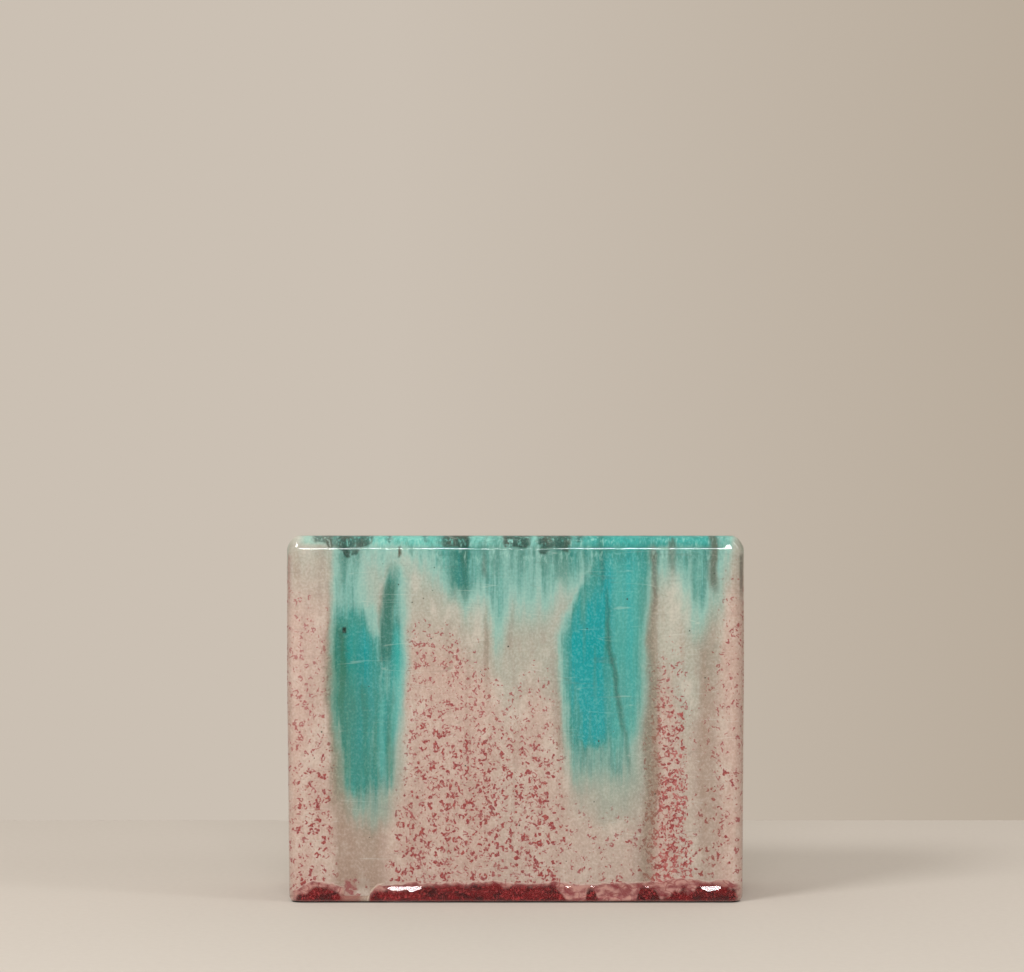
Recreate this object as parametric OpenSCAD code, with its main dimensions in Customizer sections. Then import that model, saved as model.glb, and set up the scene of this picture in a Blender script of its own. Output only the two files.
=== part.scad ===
// Mould-blown block vase of cased art glass.
//
// The vase is built in the order in which the hot glass is gathered. An opal liner stands on a thick
// base and holds the water. Four sheets of ruby fleck and the turquoise runs lie on its flats. A ruby
// wrap goes round the foot, with its two ends left a little apart, and a turquoise wrap lies on the
// lip. A clear casing covers all of it outside, and turns in under the foot and over the lip.
// Every gather is a solid of its own, and each meets its neighbours face to face.
//
// +Z is up, +X is to the right of the front, and the front faces -Y.
// The origin is at the middle of the ground foot.

/* [Body] */
// Width across the front
body_w = 200; // [192:1:230]
// Depth from front to back
body_d = 70; // [60:1:100]
// Height from the ground foot to the top of the lip
body_h = 160; // [155:1:200]
// Radius of the four upright edges, seen from above
edge_r = 6; // [5:0.5:8]

/* [Glass layers] */
// Thickness of the clear casing
casing_t = 2; // [1.5:0.25:2.5]
// Thickness of the coloured layer under the casing
colour_t = 1; // [1:0.25:1.5]
// Thickness of the opal liner's walls
liner_t = 6; // [6:0.5:9]

/* [Well] */
// Radius of the well's upright corners
well_r = 8; // [6:0.5:12]
// Radius between the well's walls and its floor
floor_r = 6; // [3:0.5:6]
// Thickness of the liner's floor over the base
floor_t = 5.5; // [4:0.5:10]

/* [Lip] */
// Height of the lip, above the liner and the coloured layer
lip_h = 5.5; // [5:0.25:7]
// Rounding of the lip's outer edge
lip_outer_r = 5; // [4:0.25:5]
// Rounding of the lip's inner edge
lip_inner_r = 3.5; // [3:0.25:3.5]

/* [Foot] */
// Height of the top of the ruby wrap and of the base
foot_h = 10.5; // [8:0.5:14]
// Thickness of the ruby wrap
foot_t = 4.5; // [3:0.5:7]
// Rounding of the foot's lower outer edge
foot_r = 3.5; // [3.5:0.5:4]
// Width left between the two ends of the wrap
gap_w = 11; // [8:1:16]
// Place of that gap along the front
gap_x = -69; // [-75:1:75]
// Diameter of the polished dimple where the pontil rod was
pontil_d = 26; // [20:1:36]
// Depth of the pontil dimple
pontil_depth = 1.6; // [1:0.1:2.5]

/* [Hidden] */
$fn = 64;

// How far a cut runs past the face that it opens
past = 1;

wall_t = casing_t + colour_t + liner_t;
lip_z = body_h - lip_h;
floor_z = foot_h + floor_t;
run_steps = 28;

// A run is one or more tongues. Each tongue is a row:
// [middle at its top, middle at its tip, top z, tip z, half width at its top, half width at its tip,
//  share of its length that rounds its top (0 where it hangs from the lip), share that rounds its tip]
front_left_tongues = [[-71.5, -62, 133, 33, 8.5, 12, 0.12, 0.35], [-53, -56.5, 147, 44, 5, 6.5, 0.1, 0.3]];
front_right_tongues = [[46, 40, lip_z, 44, 13, 14, 0, 0.3], [31, 34, 138, 48, 8.5, 9, 0.15, 0.35]];
front_centre_tongues = [[-25, -28, lip_z, 136, 9, 5, 0, 0.6], [-7, -8, lip_z, 114, 10, 6, 0, 0.6],
                        [11, 13, lip_z, 140, 10, 6, 0, 0.6]];
front_end_tongues = [[78, 81, lip_z, 114, 12, 7, 0, 0.5]];
back_left_tongues = [[-54, -58, lip_z, 40, 12, 14, 0, 0.3], [-39, -43, 132, 58, 7, 8, 0.15, 0.4]];
back_centre_tongues = [[-4, -2, lip_z, 100, 9, 7, 0, 0.4], [10, 13, lip_z, 124, 9, 5, 0, 0.6]];
back_right_tongues = [[60, 66, 139, 52, 9, 12, 0.12, 0.35], [72, 74, lip_z, 88, 6, 7, 0, 0.4]];
side_left_tongues = [[7, 4, lip_z, 92, 9, 7, 0, 0.45]];
side_right_tongues = [[-8, -5, lip_z, 70, 9, 8, 0, 0.4]];

// What lies outside a quarter round of radius r, where the material is at -x and above the corner
module edge_waste(r) {
    difference() {
        translate([-r, -past]) square([r + past, r + past]);
        translate([-r, r]) circle(r);
    }
}

// What a mouth takes off the wall beside it when that wall's upper edge is rounded with radius r
module mouth_waste(r) {
    difference() {
        translate([-past, -r]) square([r + past, r + past]);
        translate([r, -r]) circle(r);
    }
}

// Half of an upright section, from the axis out to reach
module half_section(reach, z0, z1, low_r, high_r, mouth_r) {
    difference() {
        translate([0, z0]) square([reach, z1 - z0 + (mouth_r > 0 ? past : 0)]);
        if (low_r > 0) translate([reach, z0]) edge_waste(low_r);
        if (high_r > 0) translate([reach, z1]) mirror([0, 1]) edge_waste(high_r);
    }
    if (mouth_r > 0) translate([reach, z1]) mouth_waste(mouth_r);
}

// A whole upright section of that width
module full_section(width, z0, z1, low_r, high_r, mouth_r) {
    for (side = [0, 1]) mirror([side, 0]) half_section(width / 2, z0, z1, low_r, high_r, mouth_r);
}

// A rectangular block with upright corners of radius r, and rounded lower and upper edges.
// With mouth_r it is the space inside a vessel, widening at the top where the lip is rounded.
module block(w, d, r, z0, z1, low_r = 0, high_r = 0, mouth_r = 0) {
    for (x = [-1, 1], y = [-1, 1])
        translate([x * (w / 2 - r), y * (d / 2 - r), 0])
            rotate_extrude() half_section(r, z0, z1, low_r, high_r, mouth_r);
    rotate([90, 0, 90]) linear_extrude(w - 2 * r, center = true)
        full_section(d, z0, z1, low_r, high_r, mouth_r);
    rotate([90, 0, 0]) linear_extrude(d - 2 * r, center = true)
        full_section(w, z0, z1, low_r, high_r, mouth_r);
}

// The outer form, taken in by that much at the sides
module inset(by, z0, z1, low_r = 0, high_r = 0) {
    block(body_w - 2 * by, body_d - 2 * by, max(edge_r - by, 1), z0, z1, low_r, high_r);
}

// The space inside the vase, or that space with a skin of the given thickness round it
module well(skin = 0) {
    block(body_w - 2 * (wall_t - skin), body_d - 2 * (wall_t - skin), well_r + skin,
          floor_z, body_h - skin, low_r = floor_r, mouth_r = lip_inner_r - skin);
}

// The ring inside the foot's edge, before it is shared between the wrap and the base
module foot_ring() {
    difference() {
        inset(casing_t, casing_t, foot_h, low_r = foot_r - casing_t);
        inset(casing_t + foot_t, 0, foot_h + past);
    }
}

// The place on the front where the wrap's two ends stay apart
module wrap_gap() {
    translate([gap_x - gap_w / 2, -body_d / 2, 0])
        cube([gap_w, casing_t + foot_t + past, foot_h + past]);
}

// Middle and half width of a tongue, t being 0 at its top and 1 at its tip
function tongue_mid(row, t) = row[0] + (row[1] - row[0]) * t;
function tongue_half(row, t) =
    (row[4] + (row[5] - row[4]) * t)
    * (row[6] > 0 ? sqrt(1 - pow(max(0, 1 - t / row[6]), 2)) : 1)
    * sqrt(1 - pow(max(0, (t - 1 + row[7]) / row[7]), 2));

// A tongue's outline, with its points closer together near both ends
module tongue(row) {
    shares = [for (i = [0 : run_steps]) (1 - cos(180 * i / run_steps)) / 2];
    function z(t) = row[2] + (row[3] - row[2]) * t;
    first = row[6] > 0 ? 1 : 0;
    polygon(concat(
        [for (i = [0 : run_steps]) [tongue_mid(row, shares[i]) - tongue_half(row, shares[i]), z(shares[i])]],
        [for (i = [run_steps - 1 : -1 : first])
            [tongue_mid(row, shares[i]) + tongue_half(row, shares[i]), z(shares[i])]]));
}

module run_outline(tongues) {
    for (row = tongues) tongue(row);
}

// Stands an outline up at that depth behind a face, thick towards the inside. The faces are the
// front, the right, the back and the left, at turns of 0, 90, 180 and 270 degrees, and the outline's
// x runs to the right for someone who looks at the front or, on the back and sides, along +X or +Y.
module on_face(turn, behind, thick) {
    reach = turn % 180 == 0 ? body_d / 2 : body_w / 2;
    rotate([0, 0, turn]) translate([0, thick + behind - reach, 0]) rotate([90, 0, 0])
        linear_extrude(thick) mirror([turn >= 180 ? 1 : 0, 0]) children();
}

module run(turn, tongues) {
    color("#2f9e97") on_face(turn, casing_t, colour_t) run_outline(tongues);
}

module run_cut(turn, tongues) {
    on_face(turn, casing_t - past, colour_t + 2 * past) run_outline(tongues);
}

// The coloured layer all round
module colour_layer() {
    difference() {
        inset(casing_t, foot_h, lip_z);
        inset(casing_t + colour_t, foot_h - past, lip_z + past);
    }
}

// The part of the coloured layer on the front or back, which turns both corners
module face_sheet(side) {
    far = side < 0 ? -body_d : body_d / 2 - edge_r;
    intersection() {
        colour_layer();
        translate([-body_w, far, 0]) cube([2 * body_w, body_d / 2 + edge_r, body_h]);
    }
}

// The part of the coloured layer on an end, a flat plate between the front and back sheets
module end_sheet(side) {
    depth = body_d - 2 * edge_r;
    x0 = side < 0 ? -body_w / 2 + casing_t : body_w / 2 - casing_t - colour_t;
    translate([x0, -depth / 2, foot_h]) cube([colour_t, depth, lip_z - foot_h]);
}

module opal_liner() {
    color("#d8ccb8") difference() {
        inset(casing_t + colour_t, foot_h, lip_z);
        well();
    }
}

module base_gather() {
    dimple_r = (pow(pontil_d / 2, 2) + pow(pontil_depth, 2)) / (2 * pontil_depth);
    color("#b3a08f") difference() {
        union() {
            inset(casing_t + foot_t, 0, foot_h);
            intersection() {
                foot_ring();
                wrap_gap();
            }
        }
        translate([0, 0, pontil_depth - dimple_r]) sphere(dimple_r);
    }
}

module foot_wrap() {
    color("#7c1f26") difference() {
        foot_ring();
        wrap_gap();
    }
}

// The ring of colour inside the lip
module lip_core() {
    difference() {
        inset(casing_t, lip_z, body_h - casing_t, high_r = lip_outer_r - casing_t);
        well(skin = casing_t);
    }
}

module lip_wrap() {
    color("#4fa79b") lip_core();
}

module clear_casing() {
    color("#dfe8e4", 0.35) difference() {
        inset(0, 0, body_h, low_r = foot_r, high_r = lip_outer_r);
        inset(casing_t, casing_t, lip_z, low_r = foot_r - casing_t);
        inset(casing_t + foot_t, -past, foot_h);
        lip_core();
        well();
    }
}

module fleck_sheet_front() {
    color("#bf9186") difference() {
        face_sheet(-1);
        for (tongues = [front_left_tongues, front_right_tongues, front_centre_tongues, front_end_tongues])
            run_cut(0, tongues);
    }
}

module fleck_sheet_back() {
    color("#bf9186") difference() {
        face_sheet(1);
        for (tongues = [back_left_tongues, back_centre_tongues, back_right_tongues])
            run_cut(180, tongues);
    }
}

module fleck_sheet_left() {
    color("#bf9186") difference() {
        end_sheet(-1);
        run_cut(270, side_left_tongues);
    }
}

module fleck_sheet_right() {
    color("#bf9186") difference() {
        end_sheet(1);
        run_cut(90, side_right_tongues);
    }
}

opal_liner();
base_gather();
foot_wrap();
lip_wrap();
clear_casing();
fleck_sheet_front();
fleck_sheet_back();
fleck_sheet_left();
fleck_sheet_right();
run(0, front_left_tongues);  // run_front_left
run(0, front_right_tongues);  // run_front_right
run(0, front_centre_tongues);  // run_front_centre
run(0, front_end_tongues);  // run_front_end
run(180, back_left_tongues);  // run_back_left
run(180, back_centre_tongues);  // run_back_centre
run(180, back_right_tongues);  // run_back_right
run(270, side_left_tongues);  // run_side_left
run(90, side_right_tongues);  // run_side_right
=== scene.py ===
import math
import bmesh
import bpy
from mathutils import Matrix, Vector, noise


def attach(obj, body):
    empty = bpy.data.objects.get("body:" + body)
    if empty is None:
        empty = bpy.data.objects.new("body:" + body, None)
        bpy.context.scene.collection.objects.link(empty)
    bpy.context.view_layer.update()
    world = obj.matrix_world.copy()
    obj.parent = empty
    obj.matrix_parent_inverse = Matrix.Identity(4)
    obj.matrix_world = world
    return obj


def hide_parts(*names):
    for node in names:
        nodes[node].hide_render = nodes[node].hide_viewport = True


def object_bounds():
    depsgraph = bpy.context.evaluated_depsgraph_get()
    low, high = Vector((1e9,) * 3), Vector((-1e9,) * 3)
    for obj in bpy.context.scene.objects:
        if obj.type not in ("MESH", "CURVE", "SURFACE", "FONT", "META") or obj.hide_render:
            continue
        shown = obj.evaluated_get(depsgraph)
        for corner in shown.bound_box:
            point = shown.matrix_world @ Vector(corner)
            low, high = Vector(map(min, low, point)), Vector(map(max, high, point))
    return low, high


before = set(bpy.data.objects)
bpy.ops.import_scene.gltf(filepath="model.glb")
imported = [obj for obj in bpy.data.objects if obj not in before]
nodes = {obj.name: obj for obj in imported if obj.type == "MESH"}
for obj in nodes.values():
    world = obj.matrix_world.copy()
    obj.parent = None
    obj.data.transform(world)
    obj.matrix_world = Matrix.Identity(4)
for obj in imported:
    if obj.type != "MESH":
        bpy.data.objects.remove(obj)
cad_low, cad_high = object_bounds()
MM = 0.001

# ---------------------------------------------------------------------------------------------
# Opal liner. The first gather: a thick cream vessel of opaque glass, blown into the block mould.
# It shows inside the mouth, where the flame has left it smooth, veined and faintly blue-green.


class Field:
    """A value that varies over a piece. Sums written with it become Math nodes in its batch."""

    def __init__(self, batch, socket):
        self.batch = batch
        self.socket = socket

    def maths(self, operation, *terms):
        return self.batch.node("ShaderNodeMath", {"operation": operation}, dict(enumerate(terms)))

    def __add__(self, other):
        return self.maths("ADD", self, other)

    def __radd__(self, other):
        return self.maths("ADD", other, self)

    def __sub__(self, other):
        return self.maths("SUBTRACT", self, other)

    def __rsub__(self, other):
        return self.maths("SUBTRACT", other, self)

    def __mul__(self, other):
        return self.maths("MULTIPLY", self, other)

    def __rmul__(self, other):
        return self.maths("MULTIPLY", other, self)

    def __abs__(self):
        return self.maths("ABSOLUTE", self)

    def most(self, other):
        return self.maths("MAXIMUM", self, other)

    def rise(self, low, high):
        """0 below low and 1 above high, with a soft step between."""
        return self.batch.node("ShaderNodeMapRange", {"interpolation_type": "SMOOTHSTEP"},
                               {0: self, 1: low, 2: high})

    def drop(self, low, high):
        """1 below low and 0 above high, with a soft step between."""
        return self.batch.node("ShaderNodeMapRange", {"interpolation_type": "SMOOTHSTEP"},
                               {0: self, 1: low, 2: high, 3: 1.0, 4: 0.0})

    def line(self, low, high, at_low, at_high):
        """Runs straight from at_low to at_high as this goes from low to high."""
        ends = {0: self, 1: low, 2: high, 3: at_low, 4: at_high}
        return self.batch.node("ShaderNodeMapRange", {}, ends)

    def parts(self):
        """The three parts of a colour."""
        return [self.batch.node("ShaderNodeSeparateColor", {}, {0: self}, output=i) for i in range(3)]

    def table(self, low, high, rows):
        """Three values from 0 to 1 that follow rows of (place, first, second, third)."""
        stops = [((row[0] - low) / (high - low), (*row[1:], 1.0)) for row in rows]
        ramp = self.batch.node("ShaderNodeValToRGB", {"interpolation": "EASE", "stops": stops},
                               {0: self.line(low, high, 0.0, 1.0)})
        return ramp.parts()


class Batch:
    """A batch of glass: one material, whose nodes are added as it is described."""

    def __init__(self, made):
        self.made = made
        if hasattr(made, "use_nodes"):
            made.use_nodes = True
        self.tree = made.node_tree if hasattr(made, "node_tree") else made
        self.tree.nodes.clear()

    def node(self, kind, settings=None, inputs=None, output=0):
        """Adds a node of that kind, and gives the value of one of its outputs."""
        made = self.tree.nodes.new(kind)
        for name, value in (settings or {}).items():
            if name == "stops":
                ends = made.color_ramp.elements
                while len(ends) < len(value):
                    ends.new(1.0)
                for stop, (place, colour) in zip(ends, value):
                    stop.position = place
                    stop.color = colour
            else:
                setattr(made.color_ramp if name == "interpolation" else made, name, value)
        for key, value in (inputs or {}).items():
            if isinstance(value, Field):
                self.tree.links.new(value.socket, made.inputs[key])
            else:
                made.inputs[key].default_value = value
        return Field(self, made.outputs[output]) if len(made.outputs) else None

    def place(self, shift=(0, 0, 0), stretch=(1, 1, 1)):
        """Where a point of the piece lies, in millimetres, shifted and then divided by stretch."""
        here = self.node("ShaderNodeTexCoord", output=3)
        scale = [1 / (MM * s) for s in stretch]
        offset = [d / s for d, s in zip(shift, stretch)]
        return self.node("ShaderNodeMapping", {}, {"Vector": here, "Location": offset, "Scale": scale})

    def axis(self, name):
        """The x, y or z of a point of the piece, in millimetres."""
        return self.node("ShaderNodeSeparateXYZ", {}, {0: self.place()}, output="xyz".index(name))

    def cloud(self, stretch, shift=(0, 0, 0), detail=2.0, rough=0.5):
        """Soft noise, about 0.5 on average, whose blotches are about as large as stretch."""
        return self.node("ShaderNodeTexNoise", {}, {
            "Vector": self.place(shift, stretch), "Scale": 1.0, "Detail": detail, "Roughness": rough})

    def tint(self, under, over, share):
        """The colour under, covered with the colour over by that share."""
        return self.node("ShaderNodeMix", {"data_type": "RGBA"}, {0: share, 6: under, 7: over}, output=2)

    def finish(self, **inputs):
        """Ends the batch in one shader with those inputs, and returns its material."""
        named = {key.replace("_", " "): value for key, value in inputs.items()}
        shader = self.node("ShaderNodeBsdfPrincipled", {}, named)
        self.node("ShaderNodeOutputMaterial", {}, {"Surface": shader})
        return self.made


def paint(red, green, blue):
    """The colour that shows as these 0 to 255 display values."""
    def linear(value):
        share = value / 255
        return share / 12.92 if share <= 0.04045 else ((share + 0.055) / 1.055) ** 2.4
    return (linear(red), linear(green), linear(blue), 1.0)


def dress(members, material):
    """Gives CAD nodes their glass."""
    for member in members:
        slots = nodes[member].data.materials
        if len(slots):
            for i in range(len(slots)):
                slots[i] = material
        else:
            slots.append(material)


opal = Batch(bpy.data.materials.new("opal_glass"))
CREAM, PALE_CREAM = paint(206, 194, 174), paint(226, 216, 198)
THIN_WASH, THICK_WASH = paint(108, 176, 166), paint(40, 132, 124)
WASH_LOW, WASH_HIGH, WASH_WAVE = 104, 184, 60
veins = opal.cloud((14, 14, 60), detail=3).rise(0.35, 0.65)
opal_colour = opal.tint(CREAM, PALE_CREAM, veins)
wash = opal.axis("z") + opal.cloud((7, 7, 30), detail=3) * WASH_WAVE
wash = wash.line(WASH_LOW, WASH_HIGH, 0.0, 1.0)
opal_colour = opal.tint(opal_colour, THIN_WASH, wash.rise(0.0, 0.5) * 0.8)
opal_colour = opal.tint(opal_colour, THICK_WASH, wash.rise(0.5, 1.0) * 0.85)
flecks = opal.cloud((2.2, 2.2, 2.6), detail=1).rise(0.66, 0.7)
flecks = flecks * opal.cloud((20, 20, 20)).rise(0.5, 0.6)
opal_colour = opal.tint(opal_colour, paint(176, 112, 106), flecks * 0.6)
dress(["opal_liner"], opal.finish(Base_Color=opal_colour, Roughness=0.14, IOR=1.5))

# ---------------------------------------------------------------------------------------------
# Fleck sheets. The hot liner was rolled in cream powder and rose-red frit. The crumbs melted to
# short curled flecks, dust-fine near the lip and at the corners, and coarse towards the foot.

PALE = paint(168, 166, 152)
ROSY = paint(188, 162, 148)
HALF_W = 100
FULL_W = 2 * HALF_W
TOP = 160


class Wall:
    """One side of the vase: its batch of glass, places on it, and how the melt drifted there."""

    def __init__(self, name, across):
        self.batch = batch = Batch(bpy.data.materials.new(name))
        self.x = batch.axis(across)
        self.z = batch.axis("z")
        self.fibre = batch.cloud((0.9, 0.9, 34), detail=1, shift=(60, 9, 0))
        self.fine = batch.cloud((1.7, 1.7, 26), detail=2)
        self.streak = batch.cloud((4.2, 4.2, 60), detail=2, rough=0.6, shift=(20, 5, 0))
        self.broad = batch.cloud((16, 16, 34), detail=2, shift=(50, 20, 0))
        self.grain = batch.cloud((0.95, 0.95, 1.15), detail=1, shift=(7, 0, 3))
        self.blotch = batch.cloud((7, 7, 13), detail=3, rough=0.6, shift=(0, 30, 90))
        self.drift = self.x + (self.broad - 0.5) * 6 + (self.fine - 0.5) * 1.6 + (self.blotch - 0.5) * 3
        self.sag = self.z + (self.blotch - 0.5) * 14 + (self.streak - 0.5) * 10

    def tint(self, over, share):
        """Lays a colour over the wall by that share."""
        self.colour = self.batch.tint(self.colour, over, share)

    def stream(self, rows, left=2.5, right=2.5):
        """Colour that ran down the wall. Rows of (height, left side, right side, strength) draw
        its outline, and left and right are the softness of its sides."""
        shares = [(z, (x0 + HALF_W) / FULL_W, (x1 + HALF_W) / FULL_W, s) for z, x0, x1, s in rows]
        start, end, strength = self.sag.table(0, TOP, shares)
        inside = (self.drift - start * FULL_W + HALF_W).rise(-left, left)
        return inside * (end * FULL_W - HALF_W - self.drift).rise(-right, right) * strength

    def vein(self, rows, soft=0.8):
        """A narrow streak. Rows of (height, middle, half width, strength) draw it."""
        return self.stream([(z, x - half, x + half, s) for z, x, half, s in rows], soft, soft)

    def hang(self, rows, length):
        """Colour that hangs from the lip. Rows of (place across, height of its hem, strength)."""
        hem, strength, _ = self.drift.table(-HALF_W, HALF_W, [(x, z / TOP, s, 0) for x, z, s in rows])
        return (self.sag - hem * TOP).rise(0, length) * strength

    def stand(self, rows, length):
        """Colour that stands on the foot. Rows of (place across, height of its top, strength)."""
        top, strength, _ = self.drift.table(-HALF_W, HALF_W, [(x, z / TOP, s, 0) for x, z, s in rows])
        return (self.sag - top * TOP).drop(-length, 0) * strength

    def largest(self, shares):
        """The strongest of several shares at each point."""
        most = shares[0]
        for other in shares[1:]:
            most = most.most(other)
        return most

    def grains(self, size, amount, shift, curl=0.0):
        """Melted crumbs, one to a cell of a random grid of that size: dots, or curls that wide."""
        batch = self.batch
        bend = batch.node("ShaderNodeTexNoise", {}, {
            "Vector": batch.place(shift, (size * 0.7,) * 3), "Scale": 1.0, "Detail": 0.0}, output=1)
        bent = batch.node("ShaderNodeVectorMath", {"operation": "MULTIPLY_ADD"}, {
            0: bend, 1: (1.1, 1.1, 1.1), 2: batch.place(shift, (size, size * 1.5, size * 1.1))})
        cells = batch.node("ShaderNodeTexVoronoi", {}, {"Vector": bent, "Scale": 1.0})
        chance, girth, _ = Field(batch, cells.socket.node.outputs["Color"]).parts()
        shown = (amount - chance).rise(0, 0.05)
        if not curl:
            return (cells - girth * 0.14).drop(0.14, 0.26) * shown
        level = batch.cloud((size * 0.8,) * 3, detail=0, shift=(shift[1], shift[0], 11))
        thread = abs(level - 0.5).drop(curl * 0.6, curl * 1.2)
        return thread * (cells - girth * 0.16).drop(0.34, 0.44) * shown

    def roll_in(self, pink, fine, coarse):
        """Cream powder, rosier by the share of pink, then flecks, fine and coarse."""
        batch = self.batch
        self.colour = batch.tint(PALE, ROSY, pink)
        self.tint(paint(164, 138, 122), (self.blotch * 0.5 + self.streak * 0.5).rise(0.48, 0.68) * 0.45)
        self.tint(paint(206, 196, 182), self.blotch.drop(0.3, 0.5) * 0.4)
        self.tint(paint(158, 84, 82), self.grains(1.3, fine * 0.5, (5, 60, 0)) * 0.7)
        self.tint(paint(150, 62, 65), self.grains(2.0, fine * 0.9, (11, 36, 0), 0.12) * 0.85)
        rose = batch.tint(paint(134, 40, 45), paint(170, 82, 75), self.grain.rise(0.45, 0.7))
        self.tint(rose, self.grains(2.7, coarse, (80, 20, 0), 0.145))


front = Wall("front_glass", "x")
front.roll_in(
    front.stand([(-96, 152, 1), (-82, 150, 0.9), (-77, 60, 0.8), (-62, 46, 0.75), (-47, 136, 0.9),
                 (-30, 130, 0.9), (-14, 118, 0.9), (-5, 100, 0.7), (8, 112, 0.8), (22, 96, 0.7),
                 (40, 50, 0.6), (56, 60, 0.7), (64, 116, 0.9), (74, 90, 0.5), (86, 110, 0.6),
                 (94, 154, 1)], 30),
    front.stand([(-98, 150, 0.4), (-90, 142, 0.5), (-81, 130, 0.5), (-77, 20, 0.2), (-58, 20, 0.2),
                 (-51, 60, 0.4), (-46, 130, 0.7), (-30, 126, 0.65), (-14, 116, 0.65), (-5, 100, 0.5),
                 (8, 112, 0.6), (20, 104, 0.4), (24, 50, 0.3), (54, 50, 0.3), (59, 124, 0.6),
                 (72, 124, 0.6), (78, 100, 0.15), (86, 120, 0.25), (91, 150, 0.4), (98, 154, 0.5)], 18),
    front.stand([(-97, 50, 0.05), (-93, 96, 0.4), (-81, 92, 0.5), (-78, 20, 0.05), (-58, 20, 0.1),
                 (-52, 60, 0.5), (-46, 98, 0.55), (-20, 96, 0.58), (0, 90, 0.58), (18, 94, 0.5),
                 (24, 40, 0.2), (54, 44, 0.2), (59, 96, 0.6), (62, 104, 1), (72, 100, 0.95),
                 (77, 60, 0.25), (87, 80, 0.35), (92, 80, 0.2), (98, 30, 0.05)], 40))
front.tint(paint(166, 66, 66), front.grains(2.3, front.stream(
    [(3, 58, 77, 0.9), (40, 59, 75, 0.65), (84, 60, 72, 0.2), (100, 60, 70, 0)], 2, 2),
     (33, 12, 0), 0.15) * 0.8)
back = Wall("back_glass", "x")
back.roll_in(
    back.stand([(-98, 154, 1), (-60, 120, 0.8), (-30, 130, 0.9), (0, 108, 0.8), (30, 126, 0.9),
                (66, 110, 0.7), (98, 154, 1)], 30),
    back.stand([(-98, 156, 0.9), (-72, 136, 0.7), (-66, 40, 0.2), (-36, 46, 0.3), (-28, 132, 0.8),
                (-8, 108, 0.7), (14, 126, 0.8), (46, 128, 0.8), (54, 50, 0.3), (78, 60, 0.3),
                (84, 140, 0.7), (98, 158, 1)], 18),
    back.stand([(-97, 60, 0.1), (-88, 98, 0.6), (-70, 90, 0.5), (-64, 30, 0.1), (-38, 44, 0.2),
                (-28, 102, 0.6), (10, 98, 0.7), (46, 100, 0.6), (54, 40, 0.2), (78, 44, 0.2),
                (86, 96, 0.6), (98, 40, 0.1)], 40))
left = Wall("left_glass", "y")
right = Wall("right_glass", "y")
for end in (left, right):
    end.roll_in(
        end.stand([(-29, 154, 1), (-10, 128, 0.8), (10, 128, 0.8), (29, 154, 1)], 30),
        end.stand([(-29, 157, 1), (-16, 140, 0.8), (16, 140, 0.8), (29, 157, 1)], 18),
        end.stand([(-29, 40, 0.1), (-18, 96, 0.5), (18, 96, 0.5), (29, 40, 0.1)], 40))

# ---------------------------------------------------------------------------------------------
# Turquoise runs. Bits of copper-blue glass were laid on at the lip and ran down in the heat. They
# are vivid where they lie thick, mint or sage where they thin out, and streaked with dark green.

MINT = paint(142, 181, 169)
SAGE = paint(142, 155, 141)
TEAL = paint(62, 143, 134)
VIVID = paint(4, 150, 152)
DEEP = paint(44, 92, 76)
DRAB = paint(134, 110, 90)
LIP_LOW = 140
LIP_SPAN = TOP - LIP_LOW


def copper(wall, share):
    """Lays copper-blue glass over a wall, as thick as the share says."""
    batch = wall.batch
    streaks = (wall.streak - 0.5) * 0.9 + (wall.fine - 0.5) * 0.6 + (wall.fibre - 0.5) * 0.3
    wall.thick = share + streaks * share
    wall.tint(batch.tint(SAGE, MINT, wall.z.rise(36, 104)), wall.thick.line(0.0, 0.3, 0.0, 1.0))
    wall.tint(TEAL, wall.thick.line(0.3, 0.65, 0.0, 1.0))
    wall.tint(VIVID, wall.thick.line(0.65, 1.0, 0.0, 1.0))
    deep = wall.thick.rise(0.25, 0.6)
    calm = deep * wall.thick.drop(0.5, 0.9)
    wall.tint(paint(30, 100, 88), wall.fine.rise(0.5, 0.68) * calm * 0.4)
    wall.tint(paint(124, 192, 180), wall.fibre.rise(0.54, 0.7) * calm * 0.24)
    wall.tint(paint(12, 118, 114), wall.grain.rise(0.46, 0.74) * deep * 0.2)
    wall.tint(paint(104, 196, 190), wall.grain.drop(0.26, 0.54) * deep * 0.14)


def speckle(wall):
    """The fine grain of the powder, light and dark, which the clear casing magnifies."""
    bare = wall.thick.line(0.0, 0.5, 1.0, 0.35)
    wall.tint(paint(96, 86, 76), wall.grain.rise(0.48, 0.74) * bare * 0.15)
    wall.tint(paint(230, 222, 210), wall.grain.drop(0.26, 0.52) * bare * 0.14)


def craze(wall):
    """Fine lines of old stress, mostly level, pale or dark, that show here and there."""
    batch = wall.batch
    for stretch, shift, width, colour, share in (
            ((60, 60, 3.0), 66, 0.011, paint(210, 214, 202), 0.2),
            ((50, 50, 4.6), 156, 0.013, paint(90, 94, 84), 0.17)):
        lines = batch.cloud(stretch, detail=0, shift=(0, 0, shift))
        some = batch.cloud((18, 18, 3), detail=1, shift=(40, shift, 6)).rise(0.49, 0.6)
        wall.tint(colour, abs(lines - 0.5).drop(width * 0.3, width) * some * share)


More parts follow.
